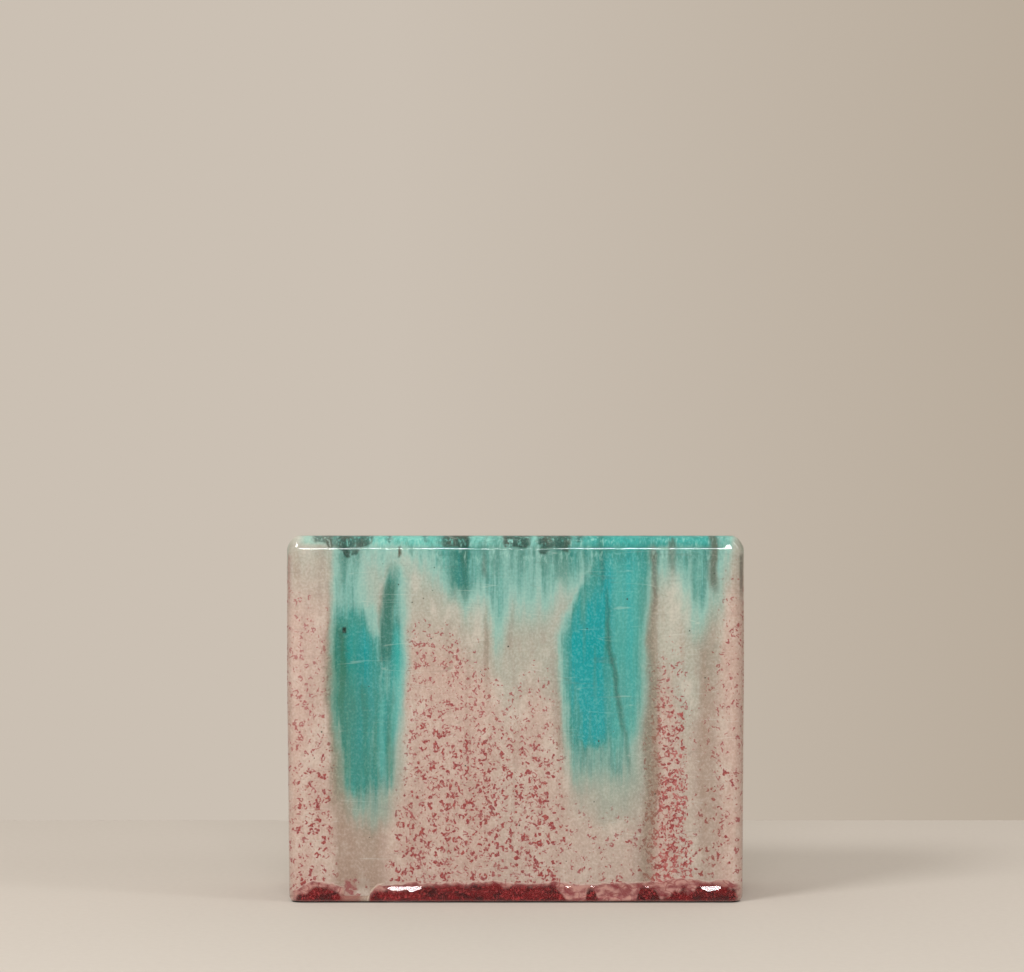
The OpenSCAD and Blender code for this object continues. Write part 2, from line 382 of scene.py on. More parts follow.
def mottles(wall, rows):
    """Green and brown mottles, where the glass of the lip is thickest. Rows of (place across,
    height of their hem, strength) say where they lie."""
    batch = wall.batch
    place = wall.x + (wall.fine - 0.5) * 2
    shares = [(x, (z - LIP_LOW) / LIP_SPAN, s, 0) for x, z, s in rows]
    hem, strength, _ = place.table(-HALF_W, HALF_W, shares)
    here = (wall.z + (wall.streak - 0.5) * 4 - LIP_LOW - hem * LIP_SPAN).rise(-0.5, 0.8) * strength
    near = wall.z.rise(LIP_LOW + 2, 153) * wall.thick.rise(0.15, 0.4)
    crumbs = batch.cloud((1.5, 1.5, 4.5), detail=4, rough=0.7, shift=(0, 80, 0))
    wall.tint(paint(36, 106, 92), crumbs.rise(0.48, 0.68) * near * 0.42)
    wall.tint(paint(180, 216, 202), crumbs.drop(0.3, 0.47) * near * 0.5)
    spots = batch.cloud((1.7, 1.7, 2.6), detail=4, rough=0.7, shift=(0, 44, 0)).rise(0.35, 0.49)
    brown = batch.cloud((5, 5, 9), shift=(3, 3, 3)).rise(0.42, 0.6) * 0.8
    wall.tint(batch.tint(paint(18, 56, 48), paint(58, 51, 39), brown), spots * here * 0.86)


front.tint(paint(226, 212, 202), front.x.drop(-84, -78) * front.z.rise(70, 110) * 0.12)
front.tint(DRAB, front.largest([
    front.stream([(10, 55, 61, 0.55), (60, 56, 62, 0.7), (120, 57, 62, 0.65), (158, 58, 62, 0.4)], 2, 2),
    front.stream([(10, 80, 88, 0.25), (60, 79, 88, 0.4), (110, 80, 88, 0.4), (158, 81, 88, 0.3)], 3, 3),
    front.stream([(8, -79, -57, 0.5), (34, -78, -58, 0.5), (50, -80, -72, 0.5), (110, -83, -78, 0.55),
                  (140, -83, -79, 0.3)], 2, 3),
    front.stream([(130, -88, -83, 0), (142, -88.5, -83, 0.32), (152, -88.5, -83, 0.36),
                  (158, -88, -84, 0)], 2, 2),
    front.vein([(138, -95, 1, 0), (146, -95, 1.4, 0.35), (153, -95, 1.4, 0.3), (156, -95, 1, 0)], 1.4),
    front.stream([(56, 17, 24, 0), (70, 17, 23, 0.5), (104, 16, 22, 0.4), (116, 16, 20, 0)], 3, 3),
    front.vein([(84, -12.5, 1, 0.1), (120, -12.5, 1.2, 0.5), (152, -12.5, 1.6, 0.6)]),
    front.vein([(100, -1, 1, 0.1), (138, -1, 1.2, 0.5), (152, -2, 1.6, 0.6)])]))
front_runs = front.largest([
    front.stream([(28, -70, -56, 0), (42, -72, -56, 0.4), (56, -75, -55, 0.68), (85, -78, -56, 0.82),
                  (114, -79, -58, 0.82), (122, -79, -61, 0.64), (132, -79, -65, 0.4),
                  (158, -80, -64, 0.36)], 3.5, 7),
    front.stream([(36, -62, -53, 0), (56, -62, -51.5, 0.54), (90, -61, -51.5, 0.67),
                  (106, -59, -48.5, 0.67), (140, -56.5, -49.5, 0.65), (148, -55, -50, 0.25),
                  (158, -55, -50, 0.1)], 2, 5),
    front.stream([(30, 26, 52, 0), (44, 25, 52, 0.14), (64, 23, 52, 0.43), (80, 22, 54, 0.7),
                  (100, 20, 56, 0.74), (114, 20, 56, 0.74), (122, 22, 56.5, 0.74), (131, 25, 57, 0.74),
                  (140, 29, 58, 0.76), (148, 32, 60, 0.76), (158, 33, 62, 0.7)], 4, 4.5),
    front.stream([(84, -68, -57, 0), (98, -68, -57, 0.5), (114, -69, -58, 0.52), (124, -70, -59, 0.36),
                  (134, -70, -60, 0.16), (158, -70, -58, 0.12)], 3, 3),
    front.stream([(60, 30, 38, 0), (76, 27, 40, 1.0), (98, 23, 40, 1.15), (116, 23, 41, 1.1),
                  (126, 28, 43, 1), (146, 34, 48, 0.9), (158, 34, 50, 0.7)], 5, 5),
    front.stream([(132, -27, -20, 0), (142, -28, -19, 0.8), (154, -29, -17, 0.85),
                  (158, -29, -17, 0.75)], 4, 4),
    front.stream([(108, 78, 82, 0), (124, 75, 84, 0.22), (142, 74, 86, 0.4), (158, 74, 90, 0.5)], 3, 3)])
LIP_WASH = [(-98, 152, 0.1), (-91, 148, 0.28), (-84, 143, 0.36), (-78, 138, 0.45), (-66, 132, 0.46),
            (-58, 130, 0.42), (-45, 134, 0.46), (-38, 131, 0.54), (-30, 124, 0.62), (-21, 116, 0.6),
            (-13, 114, 0.5), (-7, 96, 0.44), (-1, 113, 0.42), (8, 113, 0.4), (15, 115, 0.42),
            (21, 124, 0.56), (40, 122, 0.7), (56, 128, 0.8), (62, 130, 0.62), (67, 130, 0.5),
            (74, 118, 0.48), (82, 108, 0.42), (88, 114, 0.35), (93, 130, 0.4), (98, 148, 0.2)]
LIP_MOTTLES = [(-90, 158, 0), (-87, 156.6, 0.9), (-83, 156, 0.9), (-81, 153.6, 1), (-79, 155.4, 0.7),
               (-76.5, 154, 1), (-73, 150.5, 1), (-70, 151.5, 0.9), (-67, 154.6, 1), (-63, 155.4, 0.9),
               (-61, 158, 0), (-57, 158, 0), (-55, 156.2, 0.9), (-53, 158, 0), (-41.5, 158, 0),
               (-39.5, 156.6, 0.6), (-37, 158, 0), (-34, 156, 0.35), (-30, 154.6, 1), (-21, 154.2, 1),
               (-19, 157, 0), (-7, 157, 0), (-4.5, 154.6, 1), (5, 154.4, 1), (8, 157.5, 0),
               (11, 151.6, 1), (14.5, 152.4, 0.9), (17, 154, 0.9), (23, 152.6, 0.9), (25.5, 157, 0.2),
               (28, 156.4, 0.9), (31, 158, 0)]
LIP_ENDS = abs(front.x).rise(93, 98) * abs(front.batch.axis("y")).drop(20, 32) * front.z.rise(142, 156)
copper(front, front_runs.most(front.hang(LIP_WASH, 32)).most(LIP_ENDS * 0.5))
lip_band = front.z.rise(154.4, 156.2) * front.thick.rise(0.2, 0.4)
front.tint(paint(92, 188, 174), lip_band * front.x.drop(-34, -18) * 0.5)
front.tint(paint(124, 188, 175), lip_band * front.x.rise(-44, -24) * front.x.drop(16, 40) * 0.6)
corner_wash = front.z.rise(155, 157) * front.x.rise(-95, -91) * front.x.drop(-80, -76)
front.tint(paint(122, 184, 170), corner_wash * 0.5)
front.tint(paint(42, 154, 146), lip_band * front.x.rise(16, 40) * front.x.drop(84, 97) * 0.8)
front.tint(paint(46, 108, 84), front.largest([
    front.stream([(36, -79, -64, 0), (60, -80, -63, 0.4), (100, -81, -66, 0.62), (118, -80, -69, 0.5),
                  (128, -79, -71, 0.1), (136, -79, -72, 0)], 2.5, 7),
    front.vein([(46, -73.5, 1.6, 0), (60, -74, 1.9, 0.5), (100, -74.8, 2.3, 0.85),
                (116, -74.8, 1.4, 0.85), (121, -74.8, 0.6, 0)], 1.4),
    front.vein([(46, -64, 2, 0), (60, -65, 2, 0.5), (92, -66, 1.8, 0.6), (106, -67, 1, 0)], 1.6),
    front.vein([(44, -60, 1.2, 0), (62, -60.5, 1.2, 0.45), (90, -61, 1, 0.4), (96, -61, 0.6, 0)], 1.2),
    front.vein([(46, -55, 1.2, 0), (60, -55, 1.4, 0.4), (86, -54.5, 1.2, 0.3), (96, -54.5, 1, 0)], 1.2)]))
front.tint(paint(38, 168, 162), front.largest([
    front.vein([(84, -69.5, 1.2, 0), (100, -70, 1.4, 0.25), (116, -70.4, 1.6, 0.25),
                (126, -71, 1.6, 0)], 1.6),
    front.vein([(62, -52.6, 1.4, 0), (80, -52, 1.8, 0.5), (112, -51, 2, 0.6), (122, -51, 1.6, 0)], 2),
    front.vein([(50, -57.6, 1, 0), (62, -58, 1.2, 0.4), (84, -58.4, 1, 0.3), (92, -58, 1, 0)], 1.4)]))
front.tint(paint(98, 184, 174), front.stream([(56, 40, 52, 0), (80, 42, 54, 0.3), (138, 42, 57, 0.36),
                                              (158, 42, 57, 0.1)], 3, 3))
front.tint(paint(40, 106, 92), front.largest([
    front.stream([(34, 52, 60, 0.1), (80, 53, 60, 0.2), (150, 54, 60, 0.2)], 2, 2),
    front.vein([(134, -75.5, 1.4, 0), (144, -75, 1.8, 0.4), (154, -75, 2, 0.6), (158, -75, 2, 0.3)], 1.6),
    front.vein([(140, -69, 1, 0), (148, -69, 1.4, 0.3), (154, -69, 1.6, 0.45),
                (158, -69, 1.6, 0.2)], 1.6),
    front.vein([(126, -27.5, 1, 0), (138, -27, 2, 0.5), (154, -27, 2.4, 0.6)], 2),
    front.vein([(138, -8, 1, 0), (147, -8, 1.4, 0.4), (156, -8, 1.6, 0.4)], 1.6),
    front.vein([(140, 3.5, 1, 0), (148, 3, 1.6, 0.3), (154, 2, 2, 0.4)], 2),
    front.vein([(140, 12.5, 1, 0), (148, 12.5, 2, 0.45), (156, 12.5, 2, 0.5)], 1.8),
    front.vein([(134, 21, 1, 0), (143, 20.5, 2.6, 0.5), (156, 20, 3, 0.55)], 2),
    front.vein([(122, 78.5, 1, 0), (138, 78.5, 1.8, 0.28), (150, 78, 1.8, 0.28),
                (158, 78, 1.4, 0.1)], 1.8)]))
front.tint(DEEP, front.largest([
    front.vein([(104, -76.5, 0.8, 0), (116, -76, 0.9, 0.6), (122, -76, 0.7, 0)], 1),
    front.vein([(98, -57, 1.4, 0), (112, -56.4, 2.4, 0.6), (134, -55.2, 2.8, 0.75),
                (144, -54.2, 2.2, 0.45), (150, -54, 1, 0)], 1.6),
    front.vein([(50, 50.5, 0.7, 0), (66, 49, 0.8, 0.45), (94, 44.4, 0.9, 0.72), (116, 41, 0.9, 0.7),
                (132, 40.3, 0.8, 0.5), (142, 40, 0.6, 0)], 1),
    front.vein([(134, 38.5, 0.8, 0), (146, 38.5, 1.4, 0.5), (158, 38.5, 1.4, 0.5)], 1.2),
    front.vein([(128, -22, 1, 0), (140, -22.5, 2.2, 0.6), (152, -22, 2.6, 0.8),
                (159, -22, 2.6, 0.5)], 1.8)]))
front.tint(paint(84, 76, 60), front.largest([
    front.vein([(120, 60.5, 1, 0), (138, 61, 1.5, 0.5), (152, 60.5, 1.8, 0.75),
                (157, 60.5, 1, 0.1)], 1.2),
    front.vein([(136, 67, 1, 0), (147, 67.8, 1.4, 0.5), (156, 68, 1.5, 0.65), (159, 68, 1, 0)], 1.2),
    front.vein([(130, 87, 1, 0), (142, 87.5, 1.8, 0.75), (157, 87.3, 1.8, 0.8)], 1.2),
    front.vein([(138, -12.5, 1, 0), (147, -12.5, 1, 0.5), (154, -12.5, 1, 0.3)], 1),
    front.vein([(148, -50.6, 0.4, 0), (150.5, -50.6, 0.5, 1), (154, -50.6, 0.5, 0.9),
                (155, -50.6, 0.4, 0)], 0.4)]))
front.tint(paint(210, 206, 190), front.stream([(100, 63, 73, 0), (112, 63, 73, 0.22), (134, 64, 74, 0.22),
                                               (146, 64, 74, 0)], 3, 3))
left_line = front.x.drop(-99, -96.5) * front.z.rise(126, 136) * front.z.drop(150, 153)
# Painted shade: a dark grey line down the right corner, where the edge turns away.
right_edge_painted_shade = front.x.rise(96.9, 97.6) * front.z.rise(128, 140) * front.z.drop(150, 153)
front.tint(paint(150, 80, 72), left_line * 0.7)
front.tint(paint(66, 62, 54), right_edge_painted_shade * 0.6)
mottles(front, LIP_MOTTLES)
pit = abs(front.x + 74.6).drop(0.5, 1.2) * abs(front.z - 118.8).drop(0.7, 1.9)
front.tint(paint(6, 34, 26), pit * 0.95)

copper(back, back.largest([
    back.stream([(28, -66, -50, 0), (50, -69, -45, 0.6), (90, -66, -42, 0.75), (130, -65, -40, 0.8),
                 (150, -66, -42, 0.6), (158, -66, -42, 0.45)], 2.5, 4),
    back.stream([(44, -48, -40, 0), (66, -50, -37, 0.6), (110, -47, -33, 0.65), (130, -45, -34, 0.5),
                 (142, -44, -35, 0)], 3, 3),
    back.stream([(94, -6, 2, 0), (110, -9, 4, 0.5), (158, -12, 6, 0.7)], 3, 3),
    back.stream([(118, 9, 16, 0), (132, 6, 19, 0.5), (158, 2, 20, 0.6)], 3, 3),
    back.stream([(40, 60, 70, 0), (62, 56, 76, 0.6), (100, 53, 74, 0.8), (130, 51, 70, 0.72),
                 (142, 52, 68, 0.2)], 3, 3),
    back.stream([(78, 70, 78, 0), (98, 68, 80, 0.5), (142, 67, 79, 0.65),
                 (158, 66, 78, 0.5)], 3, 3), back.hang(LIP_WASH, 26)]))
back.tint(DEEP, back.largest([
    back.vein([(60, -55, 1, 0), (80, -53, 1.6, 0.6), (130, -51, 1.4, 0.6), (150, -51, 1, 0)], 1.2),
    back.vein([(50, 62, 1.4, 0), (70, 60, 2, 0.6), (120, 57, 2, 0.6), (136, 57, 1, 0)], 1.4),
    back.vein([(104, -4, 1, 0), (120, -4, 1.4, 0.5), (158, -4, 1.8, 0.6)], 1.2)]))
mottles(back, LIP_MOTTLES)
left_run = left.stream([
    (84, 0, 8, 0), (100, -3, 11, 0.5), (130, -3, 13, 0.6), (158, -5, 18, 0.3)], 3, 3)
right_run = right.stream([
    (62, -10, 0, 0), (80, -13, 3, 0.55), (120, -15, 1, 0.7), (158, -18, 3, 0.5)], 3, 3)
for end, run, hem in ((left, left_run, 128), (right, right_run, 126)):
    copper(end, run.most(end.hang([
        (-29, 148, 0.2), (-20, 138, 0.5), (0, hem, 0.5), (20, 138, 0.5), (29, 148, 0.3)], 20)))
for wall in (front, back, left, right):
    speckle(wall)
    craze(wall)

IN_GLASS = {"Roughness": 0.5, "Specular_IOR_Level": 0.0}
dress(["fleck_sheet_back", "run_back_left", "run_back_centre", "run_back_right"],
      back.batch.finish(Base_Color=back.colour, **IN_GLASS))
dress(["fleck_sheet_left", "run_side_left"], left.batch.finish(Base_Color=left.colour, **IN_GLASS))
dress(["fleck_sheet_right", "run_side_right"], right.batch.finish(Base_Color=right.colour, **IN_GLASS))

# ---------------------------------------------------------------------------------------------
# Foot wrap. A C-shaped wrap of deep ruby glass, pressed on hot round the lowest 10 mm. It pooled
# in low domes, clotted dark at the core and thinned to mauve, and its ends don't quite meet.

WRAP_H = 10
batch = front.batch
at_front = batch.axis("y").drop(-30, -27)
wrap_ends = front.x.rise(-76.5, -73.5) * front.x.drop(-64.2, -63) * at_front
wrap_ends = wrap_ends.most(abs(front.x).rise(95, 98.5) * at_front)
pool_top, paleness, _ = front.drift.table(-HALF_W, HALF_W, [
    (-98, 0.2, 0.6, 0), (-94, 0.5, 0.45, 0), (-88, 0.72, 0.32, 0), (-80, 0.66, 0.25, 0),
    (-76, 0.45, 0.3, 0), (-63, 0.2, 0.1, 0), (-59, 0.5, 0.25, 0), (-52, 0.6, 0.45, 0), (-42, 0.6, 0.3, 0),
    (-36, 0.66, 0.1, 0), (-28, 0.6, 0.05, 0), (-10, 0.66, 0.1, 0), (8, 0.6, 0.1, 0), (18, 0.6, 0.3, 0),
    (24, 0.6, 0.8, 0), (29, 0.5, 0.7, 0), (33, 0.5, 0.2, 0), (38, 0.6, 0.9, 0), (52, 0.6, 0.9, 0),
    (57, 0.6, 0.15, 0), (61, 0.66, 0.45, 0), (68, 0.8, 0.5, 0), (76, 0.78, 0.45, 0), (84, 0.7, 0.25, 0),
    (92, 0.7, 0.3, 0), (98, 0.5, 0.5, 0)])
depth = pool_top * WRAP_H + batch.cloud((7, 7, 400), shift=(9, 9, 0)) * 4 + 0.4 - front.z
ruby_share = depth.rise(-0.6, 0.8) * (1 - wrap_ends)
thinness = (batch.cloud((5, 5, 9), shift=(31, 70, 0)) * 0.6 + paleness * 0.8).rise(0.4, 0.95)
layers = batch.cloud((5, 5, 2.6), detail=3, rough=0.6, shift=(8, 0, 5))
core = batch.tint(paint(60, 2, 7), paint(104, 10, 17), layers.rise(0.38, 0.62))
core = batch.tint(core, paint(190, 66, 66), front.grains(1.2, 0.85, (3, 90, 0), 0.12) * 0.48)
core = batch.tint(core, paint(36, 3, 8), layers.drop(0.3, 0.44) * 0.6)
folds = batch.cloud((4, 4, 2.8), detail=3).rise(0.38, 0.62)
mauve = batch.tint(paint(136, 72, 72), paint(184, 138, 127), folds)
threads = abs(batch.cloud((6, 6, 4), detail=1, shift=(5, 55, 2)) - 0.5).drop(0.01, 0.035)
mauve = batch.tint(mauve, paint(126, 34, 44), threads * 0.6)
front.tint(batch.tint(mauve, core, (depth - thinness * 7).rise(-0.3, 2.4)), ruby_share)
seam = abs(depth + 0.2).drop(0.05, 0.35) * (1 - wrap_ends)
front.tint(paint(214, 186, 174), seam * 0.4)
END_X, END_R = -56, 8.6
from_end = batch.node("ShaderNodeVectorMath", {"operation": "DISTANCE"}, {
    0: batch.place(stretch=(1, 400, 1)), 1: (END_X, 0, 0)}, output=1)
end_line = abs(from_end - END_R).drop(0.1, 0.5) * front.x.drop(-59, END_X) * at_front
front.tint(paint(206, 190, 170), end_line * 0.6)
gap_film = front.x.rise(-77, -75) * front.x.drop(-69, -66) * front.z.drop(3.2, 4) * at_front
front.tint(paint(138, 82, 74), gap_film * 0.8)
hem_line = front.z.rise(0.5, 0.8) * front.z.drop(1.2, 1.8) * (1 - wrap_ends)
front.tint(paint(150, 100, 94), hem_line * 0.35)
front_glass = front.batch.finish(Base_Color=front.colour, **IN_GLASS)
dress(["fleck_sheet_front", "run_front_left", "run_front_right", "run_front_centre", "run_front_end",
       "foot_wrap", "lip_wrap"], front_glass)

BODY_W = cad_high.x - cad_low.x
BODY_D = cad_high.y - cad_low.y
BODY_H = cad_high.z - cad_low.z
EDGE_R = 6 * MM
CASING_T = 2 * MM
FOOT_R = 3 * MM
FOOT_T = 4.5 * MM
LIP_R = 5 * MM
ACROSS, ALONG, ROUND = 190, 28, 10
LEAN_LEFT, LEAN_RIGHT, LEAN_TOP = 1.1, 0.6, 100
LEAST_R = 0.2 * MM
SQUEEZE_IN = 0.4 * MM
PROUD = 0.05 * MM
BESIDE = 0.03 * MM


def outline(inset, radius):
    """Points round the vase at that inset, each with the way out of it. Every outline has its
    points at matching places, so that outlines join to a skin."""
    half_w = BODY_W / 2 - inset - radius
    half_d = BODY_D / 2 - inset - radius
    corners = [(half_w, -half_d), (half_w, half_d), (-half_w, half_d), (-half_w, -half_d)]
    points = []
    for i, corner in enumerate(corners):
        middle = Vector(corner)
        ways = [math.pi / 2 * (i - 1 + k / ROUND) for k in range(ROUND + 1)]
        ways = [Vector((math.cos(a), math.sin(a))) for a in ways]
        points += [(middle + way * radius, way) for way in ways]
        start, way = points[-1]
        end = Vector(corners[(i + 1) % 4]) + way * radius
        count = (ALONG, ACROSS)[i % 2]
        points += [(start.lerp(end, k / count), way) for k in range(1, count)]
    return points


def arc(centre, radius, start, end, steps, end_radius=None):
    """Points of an arc as (inset, height). An angle of 0 is straight out and 90 is up. The radius
    eases to end_radius, where one is given."""
    points = []
    for k in range(steps + 1):
        share = k / steps
        turn = math.radians(start + (end - start) * share)
        reach = radius + ((end_radius or radius) - radius) * share * share * (3 - 2 * share)
        points.append((centre[0] - reach * math.cos(turn), centre[1] + reach * math.sin(turn)))
    return points


def ring_mesh(name, loops):
    """A closed skin from loops of places round the vase, the last of which joins the first."""
    shape = bmesh.new()
    rings = [[shape.verts.new(place) for place in loop] for loop in loops]
    for ring, following in zip(rings, rings[1:] + rings[:1]):
        for k in range(len(ring)):
            m = (k + 1) % len(ring)
            shape.faces.new((ring[k], ring[m], following[m], following[k]))
    bmesh.ops.recalc_face_normals(shape, faces=shape.faces)
    made = bpy.data.meshes.new(name)
    shape.to_mesh(made)
    shape.free()
    made.polygons.foreach_set("use_smooth", [True] * len(made.polygons))
    piece = bpy.data.objects.new(name, made)
    bpy.context.scene.collection.objects.link(piece)
    return piece


def lean(way, height):
    """How far the ends of the vase lean in towards the foot, which is more on the left."""
    most = LEAN_LEFT if way.x < 0 else LEAN_RIGHT
    return most * MM * abs(way.x) * max(0.0, 1 - height / (LEAN_TOP * MM))


def hoop(name, rows, material):
    """A closed ring of glass round the vase, from rows of (inset, height)."""
    loops = []
    for inset, height in rows:
        give = 1 - min(1, inset / LIP_R)
        loops.append([Vector((*(point - way * lean(way, height) * give), height))
                      for point, way in outline(inset, max(EDGE_R - inset, LEAST_R))])
    made = ring_mesh(name, loops)
    made.data.materials.append(material)
    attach(made, "root")


# The squeeze: the foot of the wrap, which the weight of the vase pressed out almost to the skin.
under_wrap = CASING_T + FOOT_T - 0.2 * MM
hoop("foot_squeeze", [
    (under_wrap, SQUEEZE_IN),
    *arc((FOOT_R, FOOT_R), FOOT_R - SQUEEZE_IN, -90, 0, 10, FOOT_R - CASING_T + PROUD),
    (CASING_T - PROUD, FOOT_R + BESIDE),
    (CASING_T + 0.6 * MM, FOOT_R + 0.4 * MM),
    (under_wrap, FOOT_R)], front_glass)

# ---------------------------------------------------------------------------------------------
# Base gather. A thick plug of smoky glass that closes the bottom and shows in the wrap's gap. It
# is ground flat and frosted underneath, with a polished dimple where the pontil was cut away. The
# rim that the vase stands on is ground too, pale and frosted, and the outer curve of its edge is
# painted near-black: a painted contact shadow where the vase meets the table.

PONTIL_R = 13
base = Wall("base_glass", "x")
base.roll_in(0.5, 0.5, 0.12)
base.thick = base.z * 0
speckle(base)
spill = base.x.drop(-70, -67) * base.batch.cloud((2.2, 2.2, 2), detail=3, shift=(1, 5, 0)).rise(0.46, 0.6)
base.tint(DRAB, base.z.rise(4, 8) * 0.5)
base.tint(paint(150, 96, 84), base.x.drop(-71, -68) * 0.4)
base.tint(paint(134, 46, 50), spill * 0.8)
base.tint(paint(182, 168, 152), base.z.drop(0.6, 2.0) * 0.85)
level_place = base.batch.node("ShaderNodeVectorMath", {"operation": "MULTIPLY"}, {
    0: base.batch.place(), 1: (1, 1, 0)})
off_centre = base.batch.node("ShaderNodeVectorMath", {"operation": "LENGTH"}, {0: level_place}, output=1)
polished = off_centre.drop(PONTIL_R - 0.4, PONTIL_R)
scuffs = base.batch.cloud((60, 1.2, 9), detail=3).rise(0.45, 0.7)
base.tint(paint(150, 140, 126), scuffs * base.z.drop(0.4, 1.6) * (1 - polished) * 0.5)
frosting = 0.12 + (1 - polished) * (0.5 + scuffs * 0.2)
dress(["base_gather"], base.batch.finish(Base_Color=base.colour, Roughness=frosting, IOR=1.5))

EDGE_H = 0.7 * MM
EDGE_PROUD = 0.04 * MM
rim = [p for p in arc((FOOT_R, FOOT_R), FOOT_R + EDGE_PROUD, -90, 0, 40) if p[1] < EDGE_H]
rim = [(inset, max(height, 0.0)) for inset, height in rim] + [(FOOT_R, EDGE_H)]
rim_in = CASING_T + FOOT_T - 0.1 * MM
rim += [(rim_in, EDGE_H), (rim_in, 0.0)]
edge = Batch(bpy.data.materials.new("ground_edge_shade_glass"))
level_ground = edge.axis("z").drop(0.01, 0.03).most(edge.axis("z").rise(0.64, 0.67))
edge_scuffs = edge.cloud((30, 1.0, 1.0), detail=3).rise(0.4, 0.7)
ground_flat = edge.tint(paint(150, 138, 126), paint(186, 174, 160), edge_scuffs)
# Painted shade: between its flat ground faces, the edge's outer curve is painted near-black as a contact
# shadow.
edge_frost_and_painted_shade = edge.tint(paint(18, 12, 10), ground_flat, level_ground)
edge_glass = edge.finish(Base_Color=edge_frost_and_painted_shade, Roughness=0.65, IOR=1.5, Specular_IOR_Level=0.12)
hoop("ground_edge", rim, edge_glass)

# ---------------------------------------------------------------------------------------------
# Lip wrap. A ring of turquoise glass dropped on round the mouth and rounded in the fire. The
# wash of the walls hangs from it, so it takes the same glass, brown-green where it lies thickest.

# Its crest is a flash: a thin wash that the fire drew up from the wrap, almost to the skin.
MOUTH_R = 3.5 * MM
WALL_T = 9 * MM
FLASH_IN = 0.5 * MM
FLASH_FOOT_IN, FLASH_FOOT_OUT = 155.9 * MM, 155.4 * MM
crest = WALL_T - MOUTH_R
flash_in = arc((crest, BODY_H - MOUTH_R), MOUTH_R - FLASH_IN, 90, 0, 8, MOUTH_R - CASING_T + PROUD)
hoop("lip_flash", [
    (CASING_T - PROUD, BODY_H - LIP_R - BESIDE),
    *arc((LIP_R, BODY_H - LIP_R), LIP_R - CASING_T + PROUD, 0, 90, 10, LIP_R - FLASH_IN),
    *[(2 * crest - inset, height) for inset, height in flash_in],
    (WALL_T - CASING_T + PROUD, BODY_H - MOUTH_R - BESIDE),
    (WALL_T - CASING_T - 0.6 * MM, FLASH_FOOT_IN),
    (CASING_T + 0.6 * MM, FLASH_FOOT_OUT)], front_glass)

# ---------------------------------------------------------------------------------------------
# Clear casing. The last gather, which covers the colour and turns in under the foot and over the
# lip. Its skin is fire polished, so it keeps the slight swells, lenses and creases of hot glass.

WELL_R = 8 * MM
SINK = 0.4 * MM
LIP_Z = BODY_H - 5.5 * MM
LENS_TOP = 10
BACK_LENS = 0.5
RIPPLE_LOW = 149
GLINT_Z = 154.35
CORNER_GLINT_X = 92.8

# Lenses of clear glass along the foot: middle across, height, half width, half height, how proud.
LENSES = [(-88, 4.2, 8.5, 4, 0.5), (-71.6, 4.6, 2.6, 3.4, 0.5), (-66.4, 4.6, 2.6, 3.4, 0.5),
          (-48, 4, 14, 3.9, 1.4), (-30, 4.2, 8, 4, 0.4), (-12, 4.4, 9, 4.2, 0.5), (6, 4.2, 8, 4, 0.4),
          (22.5, 5.6, 3.2, 2.5, 0.9), (33.5, 5.8, 3.4, 2.6, 0.94), (45, 4.2, 6, 4, 0.5),
          (57.5, 5.4, 3.4, 2.6, 0.94), (68, 4.2, 6, 4, 0.4), (85, 4.2, 9, 3.8, 1.37)]


def swell(place, out):
    """How far the fire-polished skin stands out of the true form, in millimetres."""
    x, y, z = place / MM
    across = x if y < 0 else -x
    stands = noise.noise(Vector((x / 46, y / 46 + 7, z / 52))) * 0.16
    stands += noise.noise(Vector((x / 15, y / 15, z / 19 + 3))) * 0.045
    stands -= lean(out, place.z) / MM
    if z < LENS_TOP:
        # The lenses stand proudest at their middles, and less on the back than on the front.
        lens = 0.0
        for middle, height, half_w, half_h, proud in LENSES:
            off = ((across - middle) / half_w) ** 4 + ((z - height) / half_h) ** 2
            lens = max(lens, proud * (1.02 - math.sqrt(off + 0.02)))
        stands += lens * abs(out.y) * (1.0 if y < 0 else BACK_LENS)
        stands += noise.noise(Vector((x / 2.4, y / 2.4, z / 2.4 + 8))) * 0.05
    if z > RIPPLE_LOW:
        # Ripples, chips and a slight tilt break up the line of light along the lip.
        ripple = noise.noise(Vector((x / 5, y / 5, 1))) * 0.7
        ripple += noise.noise(Vector((x / 1.8, y / 1.8, 5))) * 0.5
        chip = noise.noise(Vector((x / 1.9, y / 1.9, 9)))
        broken = 0.2 * math.exp(-((across + 60) / 18) ** 6)
        broken += 0.07 * math.exp(-((across - 58) / 34) ** 4)
        tilt = 0.055 * math.exp(-((across + 3) / 20) ** 4) + chip * broken
        tilt += 0.013 if across > 15 else 0.0
        off = z - GLINT_Z
        stands += math.exp(-(off / 0.45) ** 2) * ripple * 0.015 - math.exp(-(off / 0.8) ** 2) * off * tilt
        # A roll at the left end and a facet at the right corner widen it.
        roll = max(0.0, min(1.0, (154.15 - z) / 0.8, (z - 149.5) / 3.2)) * 0.184
        stands += roll * max(0.0, 1 - ((across + 87) / 9) ** 2) * abs(out.y)
        facet = 0.155 * max(0.0, min(z, 157.2) - 154.5) ** 1.6 * max(0.0, min(1.0, (158.6 - z) / 1.4))
        stands += facet * math.exp(-((across - CORNER_GLINT_X) / 2.4) ** 4) * (1 + chip * 0.3)
    return stands


